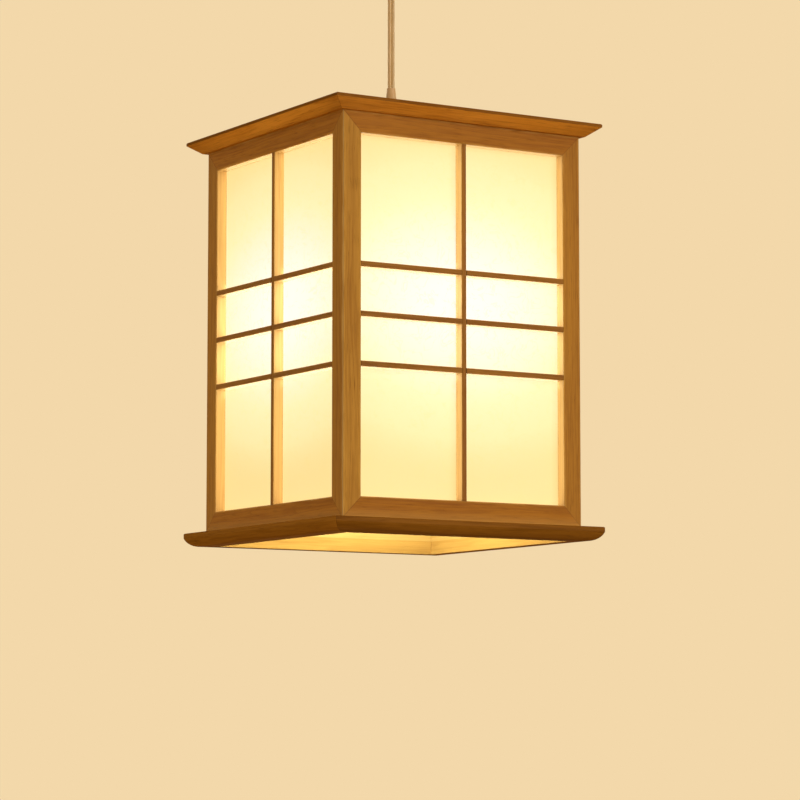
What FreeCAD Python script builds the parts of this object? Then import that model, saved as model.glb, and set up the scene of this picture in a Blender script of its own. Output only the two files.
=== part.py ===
"""Hanging lantern: four latticed wooden frames between a cap and a base, on a cord from a ceiling canopy.

Millimetres, +Z up. The origin is on the ceiling, above the middle of the lantern, which hangs below it.
The front of the lantern faces -Y. Each side is modelled as the front one and turned about Z.
"""
import FreeCAD, Part
import math
import os
import re
import Sketcher
from FreeCAD import Placement, Rotation, Vector

# Sizes that can each be set alone
SIZES = {
    # Side frames: stiles and rails, mitred at the face corners and to the next frame
    "box_width": 200,
    "frame_height": 285,
    "frame_thickness": 8,
    "stile_width": 15,
    "rail_width": 15,
    "corner_ease": 1,
    "arris": 0.5,
    # Lattice and the sheet behind it
    "lattice_bars": 3,
    "lattice_pitch": 35,
    "lattice_width": 4,
    "tenon_length": 4,
    "tenon_depth": 4,
    "joint_clearance": 0.05,
    "diffuser_thickness": 1,
    "diffuser_overlap": 5,
    "diffuser_clearance": 1,
    # Cap strips and the panel in their rebate
    "cap_overhang": 12,
    "cap_thickness": 9,
    "cap_strip_width": 32,
    "cap_edge_band": 2.4,
    "cap_reveal": 3,
    "panel_thickness": 5,
    "panel_bearing": 8,
    "panel_clearance": 0.3,
    # Base strips
    "base_overhang": 12,
    "base_thickness": 10,
    "base_edge_band": 3.5,
    "base_reveal": 3,
    "board_ease": 0.6,
    # Flat dowels and corner keys
    "dowel_thickness": 4,
    "dowel_width": 16,
    "dowel_spacing": 100,
    "dowel_rail_depth": 9,
    "dowel_board_depth": 6,
    "key_reach": 8,
    "key_thickness": 2,
    "key_inset": 4,
    # Ceiling fitting
    "bracket_length": 96,
    "bracket_width": 20,
    "bracket_thickness": 1.5,
    "bracket_corner": 4,
    "screw_spacing": 60,
    "screw_slot_length": 12,
    "screw_slot_width": 4.5,
    "stud_spacing": 84,
    "stud_diameter": 4,
    "stud_head_diameter": 6,
    "stud_head_height": 0.8,
    "stud_run_out": 5,
    "cap_nut_diameter": 9,
    "cap_nut_height": 7,
    "canopy_diameter": 110,
    "canopy_height": 28,
    "canopy_wall": 1.2,
    "canopy_round": 5,
    "hole_clearance": 0.2,
    "grip_flange_diameter": 16,
    "grip_flange_height": 3,
    "grip_mouth_diameter": 13,
    "grip_length": 12,
    "mouth_depth": 4,
    "mouth_flare_diameter": 10,
    "terminal_length": 22,
    "terminal_width": 16,
    "terminal_height": 16,
    "terminal_spacing": 11,
    "terminal_screw_diameter": 4,
    "terminal_screw_depth": 5,
    # Flat twin cord
    "cord_width": 5.2,
    "cord_thickness": 2.8,
    "cord_clearance": 0.3,
    "hang_gap": 123,
    # Threaded tube through the cap's panel, with its nuts, washers and strain relief
    "thread_diameter": 10,
    "tube_bore": 7,
    "tube_above_washer": 11,
    "tube_drop": 6,
    "nut_flats": 14,
    "nut_height": 4,
    "nut_run_out": 1.5,
    "washer_diameter": 20,
    "washer_thickness": 1,
    "strain_base_diameter": 16,
    "strain_base_height": 8,
    "strain_top_diameter": 7.2,
    "strain_length": 37,
    "cord_split_height": 3,
    # Lamp holder
    "holder_diameter": 39,
    "holder_wall": 2,
    "neck_diameter": 16,
    "neck_length": 6,
    "holder_cap_rim": 6,
    "insert_height": 12,
    "insert_above_seam": 4,
    "insert_screw_spacing": 18,
    "insert_screw_depth": 5,
    "shell_diameter": 28.2,
    "shell_wall": 0.7,
    "shell_length": 22,
    "skirt_below_shell": 3,
    "flange_thickness": 2,
    "contact_room": 3,
    "contact_thickness": 0.5,
    "contact_width": 6,
    "contact_reach": 11,
    "contact_pad": 8,
    # Bulb
    "bulb_diameter": 60,
    "bulb_length": 108,
    "globe_wall": 1.5,
    "globe_seat_rise": 16,
    "collar_height": 3,
    "housing_top_diameter": 27,
    "screw_cap_diameter": 26,
    "screw_cap_length": 21,
    "screw_cap_wall": 0.8,
    "insulator_diameter": 14,
    "insulator_height": 2,
    "foot_diameter": 10,
    "foot_height": 3,
    # How far a cutting outline stands clear of the wood that it cuts
    "overcut": 1,
}

# Places and sizes that follow from them
PLACES = {
    "half_box": "box_width / 2",
    "frame_inner": "half_box - frame_thickness",
    "stile_edge": "half_box - stile_width",
    "frame_mid": "half_box - frame_thickness / 2",
    "canopy_bottom": "-canopy_height",
    "canopy_floor": "canopy_bottom + canopy_wall",
    "canopy_radius": "canopy_diameter / 2",
    "canopy_inside": "canopy_radius - canopy_wall",
    "canopy_flat": "canopy_radius - canopy_round",
    "cap_top": "canopy_bottom - hang_gap",
    "cap_bottom": "cap_top - cap_thickness",
    "half_cap": "half_box + cap_overhang",
    "cap_inner": "half_cap - cap_strip_width",
    "cap_rebate": "cap_inner + panel_bearing",
    "cap_foot": "half_box + cap_reveal",
    "panel_half": "cap_rebate - panel_clearance",
    "panel_top": "cap_bottom + panel_thickness",
    "frame_bottom": "cap_bottom - frame_height",
    "base_bottom": "frame_bottom - base_thickness",
    "half_base": "half_box + base_overhang",
    "base_foot": "half_box + base_reveal",
    "cap_key_level": "cap_bottom + cap_thickness / 2",
    "base_key_level": "frame_bottom - base_thickness / 2",
    "key_at": "half_box - frame_thickness + key_inset + key_reach / 2",
    "opening_top": "cap_bottom - rail_width",
    "opening_bottom": "frame_bottom + rail_width",
    "lattice_middle": "(opening_top + opening_bottom) / 2",
    "tenon_front": "frame_mid + tenon_depth / 2",
    "tenon_back": "frame_mid - tenon_depth / 2",
    "diffuser_half": "frame_inner - diffuser_thickness - diffuser_clearance",
    "thread_hole": "thread_diameter / 2 + joint_clearance",
    "nut_corner": "nut_flats / sqrt(3)",
    "grip_nut_top": "canopy_floor + nut_height",
    "grip_stem_top": "grip_nut_top + nut_run_out",
    "grip_mouth": "canopy_bottom - grip_length",
    "swing_pivot": "grip_mouth + mouth_depth",
    "terminal_bottom": "-bracket_thickness - terminal_height",
    "cord_half": "cord_width / 2",
    "cord_depth": "cord_thickness / 2",
    "cord_flat": "cord_half - cord_depth",
    "cord_hole": "cord_half + cord_clearance",
    "strain_bottom": "panel_top + washer_thickness",
    "strain_top": "strain_bottom + strain_length",
    "tube_top": "strain_bottom + tube_above_washer",
    "cord_split": "tube_top + cord_split_height",
    "nut_under": "cap_bottom - washer_thickness - nut_height",
    "neck_top": "nut_under - tube_drop - nut_height",
    "neck_bottom": "neck_top - neck_length",
    "tube_bottom": "neck_bottom - holder_wall",
    "holder_radius": "holder_diameter / 2",
    "holder_inside": "holder_radius - holder_wall",
    "neck_radius": "neck_diameter / 2",
    "cone_bottom": "neck_bottom - holder_radius + neck_radius",
    "holder_seam": "cone_bottom - holder_cap_rim",
    "insert_top": "holder_seam + insert_above_seam",
    "insert_bottom": "insert_top - insert_height",
    "shell_bottom": "insert_bottom - shell_length",
    "holder_mouth": "shell_bottom - skirt_below_shell",
    "bulb_tip": "insert_bottom - contact_room",
    "bulb_crown": "bulb_tip - bulb_length",
    "globe_radius": "bulb_diameter / 2",
    "globe_middle": "bulb_crown + globe_radius",
    "globe_seat": "globe_middle + globe_seat_rise",
    "globe_neck": "sqrt(globe_radius ^ 2 - globe_seat_rise ^ 2)",
    "globe_inner": "globe_radius - globe_wall",
    "globe_inner_neck": "sqrt(globe_inner ^ 2 - globe_seat_rise ^ 2)",
    "insulator_top": "bulb_tip - foot_height",
    "screw_cap_top": "insulator_top - insulator_height",
    "housing_top": "screw_cap_top - screw_cap_length",
    "screw_cap_radius": "screw_cap_diameter / 2",
    "screw_cap_inside": "screw_cap_radius - screw_cap_wall",
}

SIDES = {"front": 0, "right": 90, "back": 180, "left": 270}
HANDS = {"left": "-1", "right": "1"}
TINY = 1e-6

doc = FreeCAD.newDocument("HangingLantern")
sheet = doc.addObject("Spreadsheet::Sheet", "Sizes")
for row, (alias, content) in enumerate({**SIZES, **PLACES}.items(), 1):
    sheet.set(f"A{row}", alias)
    sheet.set(f"B{row}", f"={content}" if alias in PLACES else str(content))
    sheet.setAlias(f"B{row}", alias)
doc.recompute()

nodes = {}


# Drawing and feature helpers

def cells(text):
    """An expression on the sheet's sizes, with the sheet's name before each of them."""
    return re.sub(r"[a-z][a-z_]*", lambda word: "Sizes." + word.group(), text)


def value(text):
    return float(sheet.evalExpression(cells(text)))


def box(left, low, right, high):
    """The four corners of a rectangle."""
    return [(left, low), (right, low), (right, high), (left, high)]


def circle(across, up, diameter):
    return ("circle", across, up, diameter)


def stadium(half, depth, middle="0"):
    """A slot-shaped outline, with half-round ends, about a point on the sketch's horizontal axis."""
    flat = f"({half} - {depth})"
    right = f"{middle} + {flat}"
    left = f"{middle} - {flat}"
    return [(left, f"-({depth})"), (right, f"-({depth})", ("ccw", "across", right)),
            (right, depth), (left, depth, ("ccw", "across", left))]


def arc_centre(start, end, axis, known):
    """The centre that is as far from both ends, with one of its coordinates known."""
    if axis == "across":
        gap = (start.x - known) ** 2 - (end.x - known) ** 2 + start.y ** 2 - end.y ** 2
        return Vector(known, gap / (2 * (start.y - end.y)), 0)
    gap = (start.y - known) ** 2 - (end.y - known) ** 2 + start.x ** 2 - end.x ** 2
    return Vector(gap / (2 * (start.x - end.x)), known, 0)


def draw(sketch, shapes):
    """Draw closed outlines and circles, and hold each corner and centre at its expressions.

    A corner is two expressions. A third item makes the edge after it an arc: the way it turns, and one
    coordinate of its centre.
    """
    geometry = []
    constraints = []
    bindings = []

    def hold(kind, item, point, text):
        size = value(text)
        if abs(size) < TINY:
            axis = -2 if kind == "DistanceX" else -1
            constraints.append(Sketcher.Constraint("PointOnObject", item, point, axis))
            return
        bindings.append((len(constraints), text if size > 0 else f"-({text})"))
        if size > 0:
            constraints.append(Sketcher.Constraint(kind, -1, 1, item, point, size))
        else:
            constraints.append(Sketcher.Constraint(kind, item, point, -1, 1, -size))

    def hold_both(item, point, across, up):
        hold("DistanceX", item, point, across)
        hold("DistanceY", item, point, up)

    for shape in shapes:
        first = len(geometry)
        if shape[0] == "circle":
            across, up, diameter = shape[1:]
            centre = Vector(value(across), value(up), 0)
            geometry.append(Part.Circle(centre, Vector(0, 0, 1), value(diameter) / 2))
            hold_both(first, 3, across, up)
            bindings.append((len(constraints), diameter))
            constraints.append(Sketcher.Constraint("Diameter", first, value(diameter)))
            continue
        ends = []
        for number, corner in enumerate(shape):
            after = shape[(number + 1) % len(shape)]
            start = Vector(value(corner[0]), value(corner[1]), 0)
            end = Vector(value(after[0]), value(after[1]), 0)
            item = first + number
            if len(corner) == 2:
                geometry.append(Part.LineSegment(start, end))
                ends.append((1, 2))
            else:
                way, axis, text = corner[2]
                centre = arc_centre(start, end, axis, value(text))
                angles = [math.atan2(p.y - centre.y, p.x - centre.x) for p in (start, end)]
                if way == "cw":
                    angles.reverse()
                ring = Part.Circle(centre, Vector(0, 0, 1), start.distanceToPoint(centre))
                geometry.append(Part.ArcOfCircle(ring, *angles))
                ends.append((1, 2) if way == "ccw" else (2, 1))
                hold("DistanceX" if axis == "across" else "DistanceY", item, 3, text)
            hold_both(item, ends[number][0], corner[0], corner[1])
        for number in range(len(shape)):
            following = (number + 1) % len(shape)
            constraints.append(Sketcher.Constraint("Coincident", first + number, ends[number][1],
                                                   first + following, ends[following][0]))
    sketch.addGeometry(geometry, False)
    sketch.addConstraint(constraints)
    for number, text in bindings:
        sketch.setExpression(f"Constraints[{number}]", cells(text))


def new_body(label, angle=0):
    body = doc.addObject("PartDesign::Body", label)
    body.Label = label
    body.Placement = Placement(Vector(), Rotation(Vector(0, 0, 1), angle))
    nodes[label] = body
    return body


def new_sketch(body, plane, level, shapes):
    """A sketch on one of the body's own planes, moved along its normal: +Z for XY, -Y for XZ, +X for YZ."""
    sketch = body.newObject("Sketcher::SketchObject", body.Label + "_sketch")
    support = next(item for item in body.Origin.OriginFeatures if item.Role == plane + "_Plane")
    sketch.AttachmentSupport = [(support, "")]
    sketch.MapMode = "FlatFace"
    sketch.setExpression("AttachmentOffset.Base.z", cells(level))
    draw(sketch, shapes)
    return sketch


def pad(body, plane, level, shapes, length):
    """Raise outlines along the normal of their plane."""
    feature = body.newObject("PartDesign::Pad", body.Label + "_pad")
    feature.Profile = new_sketch(body, plane, level, shapes)
    feature.setExpression("Length", cells(length))
    body.Tip = feature
    doc.recompute()


def pocket(body, plane, level, shapes, depth):
    """Cut outlines back along the normal of their plane, and make sure that wood came away."""
    before = body.Shape.Volume
    feature = body.newObject("PartDesign::Pocket", body.Label + "_pocket")
    feature.Profile = new_sketch(body, plane, level, shapes)
    feature.setExpression("Length", cells(depth))
    body.Tip = feature
    doc.recompute()
    if body.Shape.Volume > before - TINY:
        raise ValueError(f"{body.Label}: a pocket cut nothing")


def turned(label, profile):
    """A turned piece: a profile of radius and height, carried round the Z axis."""
    body = new_body(label)
    sketch = new_sketch(body, "XZ", "0", [profile])
    feature = body.newObject("PartDesign::Revolution", label + "_turning")
    feature.Profile = sketch
    feature.ReferenceAxis = (sketch, ["V_Axis"])
    feature.Angle = 360
    body.Tip = feature
    doc.recompute()
    return body


def round_edges(body, wanted, radius):
    """Round the edges that a test picks out."""
    last = body.Tip
    names = [f"Edge{number}" for number, edge in enumerate(last.Shape.Edges, 1) if wanted(edge)]
    feature = body.newObject("PartDesign::Fillet", body.Label + "_rounding")
    feature.Base = (last, names)
    feature.setExpression("Radius", cells(radius))
    body.Tip = feature
    doc.recompute()


def bar_heights():
    """Expressions for the heights of the lattice bars, evenly spaced about the opening's middle."""
    return [f"lattice_middle + ({number} - (lattice_bars - 1) / 2) * lattice_pitch"
            for number in range(int(SIZES["lattice_bars"]))]


def around(outline):
    """An outline of the front side, as distances across and out of the middle, repeated on all four sides."""
    return [[(across, f"-({out})") for across, out in outline],
            [(out, across) for across, out in outline],
            [(f"-({across})", out) for across, out in outline],
            [(f"-({out})", f"-({across})") for across, out in outline]]


def flat_dowel(hand, room):
    """The outline of a flat dowel above the middle of a frame's thickness, with room around it."""
    middle = f"{hand} * dowel_spacing / 2"
    wide = f"(dowel_width / 2 + {room})"
    deep = f"(dowel_thickness / 2 + {room})"
    return box(f"{middle} - {wide}", f"frame_mid - {deep}", f"{middle} + {wide}", f"frame_mid + {deep}")


def dowel_mortises():
    """The outlines of the two dowels' mortises in the front side."""
    return [around(flat_dowel(hand, "joint_clearance"))[0] for hand in HANDS.values()]


def gather(label, bodies):
    """Several bodies as one named piece."""
    group = doc.addObject("Part::Compound", label)
    group.Links = [nodes.pop(body.Label) for body in bodies]
    nodes[label] = group


# Side frames

def face_mitre(hand, outer, end, keep):
    """A triangle against the mitre line of a face corner, on the side that the stile or the rail loses.

    outer is the height of the frame's end, and end is 1 at the top and -1 at the bottom.
    """
    near = f"{hand} * (half_box + overcut)"
    far = f"{hand} * (stile_edge - overcut)"
    slope = "overcut * rail_width / stile_width"
    beyond = f"{outer} + {end} * {slope}"
    inside = f"{outer} - {end} * (rail_width + {slope})"
    third = (near, inside) if keep == "rail" else (far, beyond)
    return [(near, beyond), (far, inside), third]


def make_stile(side, hand_name):
    """An upright of a frame: bevelled to the next frame, mitred at both ends, mortised for the bars."""
    hand = HANDS[hand_name]
    body = new_body(f"{side}_{hand_name}_stile", SIDES[side])
    section = [(f"{hand} * (half_box - corner_ease)", "-half_box"),
               (f"{hand} * (stile_edge + arris)", "-half_box"),
               (f"{hand} * stile_edge", "-half_box + arris"),
               (f"{hand} * stile_edge", "-frame_inner"),
               (f"{hand} * frame_inner", "-frame_inner"),
               (f"{hand} * (half_box - corner_ease / 2)", "-half_box + corner_ease / 2")]
    pad(body, "XY", "frame_bottom", [section], "frame_height")
    mitres = [face_mitre(hand, "cap_bottom", 1, "stile"), face_mitre(hand, "frame_bottom", -1, "stile")]
    pocket(body, "XZ", "half_box + overcut", mitres, "frame_thickness + 2 * overcut")
    mortises = [box("-tenon_front - joint_clearance", f"{height} - lattice_width / 2 - joint_clearance",
                    "-tenon_back + joint_clearance", f"{height} + lattice_width / 2 + joint_clearance")
                for height in bar_heights()]
    depth = "tenon_length + joint_clearance"
    level = "-stile_edge + overcut" if hand_name == "left" else f"stile_edge + {depth}"
    pocket(body, "YZ", level, mortises, f"{depth} + overcut")


def make_rail(side, end_name):
    """A rail of a frame: mitred to the stiles, bevelled to the next frames, mortised and dowelled."""
    body = new_body(f"{side}_{end_name}_rail", SIDES[side])
    top = end_name == "top"
    end = "1" if top else "-1"
    outer = "cap_bottom" if top else "frame_bottom"
    inner = "opening_top" if top else "opening_bottom"
    section = [("-half_box", outer), ("-frame_inner", outer), ("-frame_inner", inner),
               ("-half_box + arris", inner), ("-half_box", f"{inner} + {end} * arris")]
    pad(body, "YZ", "-half_box", [section], "box_width")
    mitres = [face_mitre(hand, outer, end, "rail") for hand in HANDS.values()]
    pocket(body, "XZ", "half_box + overcut", mitres, "frame_thickness + 2 * overcut")
    bevels = [[(f"{hand} * (half_box + overcut)", "-half_box - overcut"),
               (f"{hand} * (half_box - corner_ease - overcut)", "-half_box - overcut"),
               (f"{hand} * (half_box - corner_ease / 2)", "-half_box + corner_ease / 2"),
               (f"{hand} * (frame_inner - overcut)", "-frame_inner + overcut"),
               (f"{hand} * (half_box + overcut)", "-frame_inner + overcut")] for hand in HANDS.values()]
    upper = outer if top else inner
    pocket(body, "XY", f"{upper} + overcut", bevels, "rail_width + 2 * overcut")
    tenon = "lattice_width / 2 + joint_clearance"
    mortise = box(f"-({tenon})", "-tenon_front - joint_clearance", tenon, "-tenon_back + joint_clearance")
    depth = "tenon_length + joint_clearance"
    pocket(body, "XY", f"{inner} + {depth}" if top else f"{inner} + overcut", [mortise], f"{depth} + overcut")
    level = f"{outer} + overcut" if top else f"{outer} + dowel_rail_depth"
    pocket(body, "XY", level, dowel_mortises(), "dowel_rail_depth + overcut")


# Lattice and diffuser

def make_upright(side):
    """A lattice upright: tenoned at both ends, notched behind for the bars."""
    body = new_body(f"{side}_lattice_upright", SIDES[side])
    half = "lattice_width / 2"
    section = [(f"-({half} - arris)", "-half_box"), (f"{half} - arris", "-half_box"),
               (half, "-half_box + arris"), (half, "-frame_inner"),
               (f"-({half})", "-frame_inner"), (f"-({half})", "-half_box + arris")]
    length = "opening_top - opening_bottom"
    pad(body, "XY", "opening_bottom", [section], length)
    tenon = box(f"-({half})", "-tenon_front", half, "-tenon_back")
    pad(body, "XY", "opening_bottom - tenon_length", [tenon], f"{length} + 2 * tenon_length")
    notches = [box("-frame_mid", f"{height} - {half} - joint_clearance",
                   "-frame_inner + overcut", f"{height} + {half} + joint_clearance")
               for height in bar_heights()]
    pocket(body, "YZ", f"{half} + overcut", notches, "lattice_width + 2 * overcut")
    return body


def make_bars(side):
    """The lattice bars of one side: tenoned at both ends, notched in front for the upright."""
    body = new_body(f"{side}_lattice_bars", SIDES[side])
    half = "lattice_width / 2"
    sections = [[("-half_box", f"{height} - {half} + arris"), ("-half_box + arris", f"{height} - {half}"),
                 ("-frame_inner", f"{height} - {half}"), ("-frame_inner", f"{height} + {half}"),
                 ("-half_box + arris", f"{height} + {half}"), ("-half_box", f"{height} + {half} - arris")]
                for height in bar_heights()]
    pad(body, "YZ", "-stile_edge", sections, "2 * stile_edge")
    tenons = [box("-tenon_front", f"{height} - {half}", "-tenon_back", f"{height} + {half}")
              for height in bar_heights()]
    pad(body, "YZ", "-stile_edge - tenon_length", tenons, "2 * (stile_edge + tenon_length)")
    room = f"({half} + joint_clearance)"
    notch = box(f"-{room}", "-half_box - overcut", room, "-frame_mid")
    pocket(body, "XY", "opening_top", [notch], "opening_top - opening_bottom")


def make_diffuser(side):
    """The sheet glued behind a frame and its lattice."""
    body = new_body(f"{side}_diffuser", SIDES[side])
    sheet_outline = box("-diffuser_half", "opening_bottom - diffuser_overlap",
                        "diffuser_half", "opening_top + diffuser_overlap")
    pad(body, "XZ", "frame_inner - diffuser_thickness", [sheet_outline], "diffuser_thickness")


# Cap and base

def cut_strip(body, outer, inner, top, thickness, mortise_level, key_level):
    """Mitre a strip's two ends, mortise it for the dowels and slot its mitres for the corner keys."""
    ends = [[(f"{hand} * ({outer} + overcut)", f"-({outer} + overcut)"),
             (f"{hand} * ({inner} - overcut)", f"-({inner} - overcut)"),
             (f"{hand} * ({outer} + overcut)", f"-({inner} - overcut)")] for hand in HANDS.values()]
    pocket(body, "XY", f"{top} + overcut", ends, f"{thickness} + 2 * overcut")
    pocket(body, "XY", mortise_level, dowel_mortises(), "dowel_board_depth + overcut")
    reach = "key_reach + joint_clearance"
    slots = [diamond(f"{hand} * key_at", "-key_at", reach) for hand in HANDS.values()]
    pocket(body, "XY", f"{key_level} + key_thickness / 2 + joint_clearance", slots,
           "key_thickness + 2 * joint_clearance")


def diamond(across, up, reach):
    """A square standing on its corner."""
    return [(f"{across} + {reach}", up), (across, f"{up} + {reach}"),
            (f"{across} - ({reach})", up), (across, f"{up} - ({reach})")]


def make_cap_strip(side):
    """A side of the cap: chamfered under its edge, rebated for the panel."""
    body = new_body(f"cap_strip_{side}", SIDES[side])
    section = [("-half_cap + board_ease", "cap_top"), ("-cap_inner", "cap_top"),
               ("-cap_inner", "panel_top"), ("-cap_rebate", "panel_top"),
               ("-cap_rebate", "cap_bottom"), ("-cap_foot", "cap_bottom"),
               ("-half_cap", "cap_top - cap_edge_band"), ("-half_cap", "cap_top - board_ease")]
    pad(body, "YZ", "-half_cap", [section], "2 * half_cap")
    cut_strip(body, "half_cap", "cap_inner", "cap_top", "cap_thickness",
              "cap_bottom + dowel_board_depth", "cap_key_level")


def make_base_strip(side):
    """A side of the base: flush with the frames inside, rounded under its outer edge."""
    body = new_body(f"base_strip_{side}", SIDES[side])
    section = [("-half_base + board_ease", "frame_bottom"), ("-frame_inner", "frame_bottom"),
               ("-frame_inner", "base_bottom"), ("-base_foot", "base_bottom", ("cw", "across", "-base_foot")),
               ("-half_base", "frame_bottom - base_edge_band"), ("-half_base", "frame_bottom - board_ease")]
    pad(body, "YZ", "-half_base", [section], "2 * half_base")
    cut_strip(body, "half_base", "frame_inner", "frame_bottom", "base_thickness",
              "frame_bottom + overcut", "base_key_level")


def make_cap_panel():
    """The panel that the cord carries: it bears up against the lip of the cap's strips."""
    body = new_body("cap_panel")
    hole = circle("0", "0", "thread_diameter + 2 * hole_clearance")
    square = box("-panel_half", "-panel_half", "panel_half", "panel_half")
    pad(body, "XY", "cap_bottom", [square, hole], "panel_thickness")


def make_corner_keys():
    """Flat keys across the mitres of the cap and the base."""
    body = new_body("corner_keys")
    keys = [diamond(f"{hand} * key_at", f"{other} * key_at", "key_reach")
            for hand in HANDS.values() for other in HANDS.values()]
    for level in ("cap_key_level", "base_key_level"):
        pad(body, "XY", f"{level} - key_thickness / 2", keys, "key_thickness")


def make_dowels():
    """Flat dowels from the rails into the cap and the base."""
    body = new_body("frame_dowels")
    outlines = [outline for hand in HANDS.values() for outline in around(flat_dowel(hand, "0"))]
    length = "dowel_rail_depth + dowel_board_depth - 2 * joint_clearance"
    pad(body, "XY", "cap_bottom - dowel_rail_depth + joint_clearance", outlines, length)
    pad(body, "XY", "frame_bottom - dowel_board_depth + joint_clearance", outlines, length)


# Ceiling fitting

def make_bracket():
    """The strap against the ceiling: two slots for the ceiling's screws and two countersunk stud holes."""
    body = new_body("ceiling_bracket")
    strap = box("-bracket_length / 2", "-bracket_width / 2", "bracket_length / 2", "bracket_width / 2")
    pad(body, "XY", "-bracket_thickness", [strap], "bracket_thickness")
    upright = value("bracket_thickness")
    round_edges(body, lambda edge: abs(edge.BoundBox.ZLength - upright) < TINY, "bracket_corner")
    through = "bracket_thickness + 2 * overcut"
    slots = [stadium("screw_slot_length / 2", "screw_slot_width / 2", f"{hand} * screw_spacing / 2")
             for hand in HANDS.values()]
    pocket(body, "XY", "overcut", slots, through)
    studs = [f"{hand} * stud_spacing / 2" for hand in HANDS.values()]
    shanks = [circle(across, "0", "stud_diameter + 2 * joint_clearance") for across in studs]
    pocket(body, "XY", "overcut", shanks, through)
    heads = [circle(across, "0", "stud_head_diameter + 2 * joint_clearance") for across in studs]
    pocket(body, "XY", "overcut", heads, "stud_head_height + overcut")


def make_studs():
    """Flush-headed studs that hang through the canopy."""
    body = new_body("bracket_studs")
    studs = [f"{hand} * stud_spacing / 2" for hand in HANDS.values()]
    heads = [circle(across, "0", "stud_head_diameter") for across in studs]
    pad(body, "XY", "-stud_head_height", heads, "stud_head_height")
    shanks = [circle(across, "0", "stud_diameter") for across in studs]
    pad(body, "XY", "canopy_bottom - stud_run_out", shanks, "canopy_height + stud_run_out")


def make_canopy():
    """The cup that hides the bracket and the wiring, with a rounded lower edge."""
    profile = [("thread_diameter / 2 + hole_clearance", "canopy_bottom"),
               ("canopy_flat", "canopy_bottom", ("ccw", "across", "canopy_flat")),
               ("canopy_radius", "canopy_bottom + canopy_round"), ("canopy_radius", "0"),
               ("canopy_inside", "0"), ("canopy_inside", "canopy_bottom + canopy_round"),
               ("canopy_flat", "canopy_floor"), ("thread_diameter / 2 + hole_clearance", "canopy_floor")]
    body = turned("ceiling_canopy", profile)
    holes = [circle(f"{hand} * stud_spacing / 2", "0", "stud_diameter + 2 * hole_clearance")
             for hand in HANDS.values()]
    pocket(body, "XY", "canopy_floor + overcut", holes, "canopy_wall + 2 * overcut")


def make_cap_nuts():
    """Domed nuts on the studs, which hold the canopy up."""
    radius = "cap_nut_diameter / 2"
    lowest = "canopy_bottom - cap_nut_height"
    bore = "stud_diameter / 2 + joint_clearance"
    bore_end = "canopy_bottom - stud_run_out - joint_clearance"
    nuts = []
    for hand_name, hand in HANDS.items():
        nut = turned(f"{hand_name}_cap_nut", [
            (bore, "canopy_bottom"), (bore, bore_end), ("0", bore_end),
            ("0", lowest, ("ccw", "across", "0")), (radius, f"{lowest} + {radius}"),
            (radius, "canopy_bottom")])
        nut.setExpression("Placement.Base.x", cells(f"{hand} * stud_spacing / 2"))
        nuts.append(nut)
    gather("canopy_cap_nuts", nuts)


def make_cord_grip():
    """The grip in the canopy: a threaded stem, a flange and a flared mouth where the cord can swing."""
    turned("canopy_cord_grip", [
        ("cord_hole", "grip_stem_top"), ("thread_diameter / 2", "grip_stem_top"),
        ("thread_diameter / 2", "canopy_bottom"), ("grip_flange_diameter / 2", "canopy_bottom"),
        ("grip_flange_diameter / 2", "canopy_bottom - grip_flange_height"),
        ("grip_mouth_diameter / 2", "grip_mouth"), ("mouth_flare_diameter / 2", "grip_mouth"),
        ("cord_hole", "swing_pivot")])


def hexagon():
    """A nut's outline, with two corners on the horizontal axis, and its threaded hole."""
    half = "nut_flats / 2"
    corners = [("nut_corner", "0"), ("nut_corner / 2", half), ("-nut_corner / 2", half),
               ("-nut_corner", "0"), ("-nut_corner / 2", f"-{half}"), ("nut_corner / 2", f"-{half}")]
    return [corners, circle("0", "0", "2 * thread_hole")]


def make_grip_nut():
    body = new_body("cord_grip_nut")
    pad(body, "XY", "canopy_floor", hexagon(), "nut_height")


def make_terminal_block():
    """The block under the strap that joins the cord to the supply, with its two clamping screws' wells."""
    body = new_body("terminal_block")
    outline = box("-terminal_length / 2", "-terminal_width / 2", "terminal_length / 2", "terminal_width / 2")
    pad(body, "XY", "terminal_bottom", [outline], "terminal_height")
    middle = "terminal_bottom + terminal_height / 2"
    wells = [circle(f"{hand} * terminal_spacing / 2", middle, "terminal_screw_diameter")
             for hand in HANDS.values()]
    pocket(body, "XZ", "terminal_width / 2 + overcut", wells, "terminal_screw_depth + overcut")


# Cord

def make_cord():
    """The flat cord: a tail in the canopy, the hanging stretch with its rounded top, a tail in the tube."""
    section = stadium("cord_half", "cord_depth")
    tail = new_body("canopy_cord_tail")
    tail_end = "swing_pivot + cord_depth + cord_clearance"
    pad(tail, "XY", tail_end, [section], f"terminal_bottom - ({tail_end})")
    hanging = new_body("pendant_cord")
    lower_end = "cord_split + cord_clearance"
    pad(hanging, "XY", lower_end, [section], f"swing_pivot - ({lower_end})")
    half_disc = [("-cord_depth", "swing_pivot"), ("cord_depth", "swing_pivot", ("ccw", "up", "swing_pivot"))]
    pad(hanging, "YZ", "-cord_flat", [half_disc], "2 * cord_flat")
    inner = new_body("holder_cord_tail")
    pad(inner, "XY", "insert_top", [section], "cord_split - insert_top")


# Hanging parts in the cap

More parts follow.
